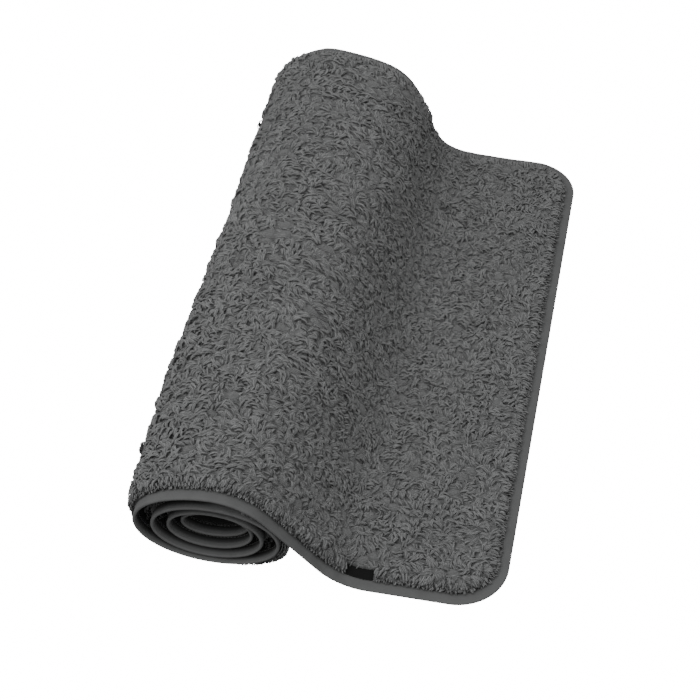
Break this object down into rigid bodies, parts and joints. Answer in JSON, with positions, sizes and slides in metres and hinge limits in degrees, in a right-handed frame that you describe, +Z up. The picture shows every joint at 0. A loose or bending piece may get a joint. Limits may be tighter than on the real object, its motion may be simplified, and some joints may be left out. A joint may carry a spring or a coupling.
{
  "type": "bath mat",
  "caption": "Long bath mat with a curly pile and a smooth bound edge, half rolled up with the pile outside and its free end laid flat.",
  "frame": {"origin": "on the floor, under the middle of the whole mat as it lies", "axes": "+Z up, +Y along the roll's axis (across the mat), +X from the roll towards the flat free end"},
  "size_m": [0.338, 0.6328, 0.1214],
  "materials": {
    "pile": "curly cut pile, matt",
    "ground": "plain knit, matt",
    "backing": "fine coated cloth, matt",
    "tape": "smooth fine twill, soft sheen",
    "thread": "twisted sewing thread",
    "label": "woven ribbon, blank"
  },
  "bodies": {
    "root": {"pile_layer": "pile", "ground_cloth": "ground", "backing": "backing", "edge_tape": "tape", "upper_seam_thread": "thread", "lower_seam_thread": "thread", "care_label": "label"}
  },
  "joints": []
}
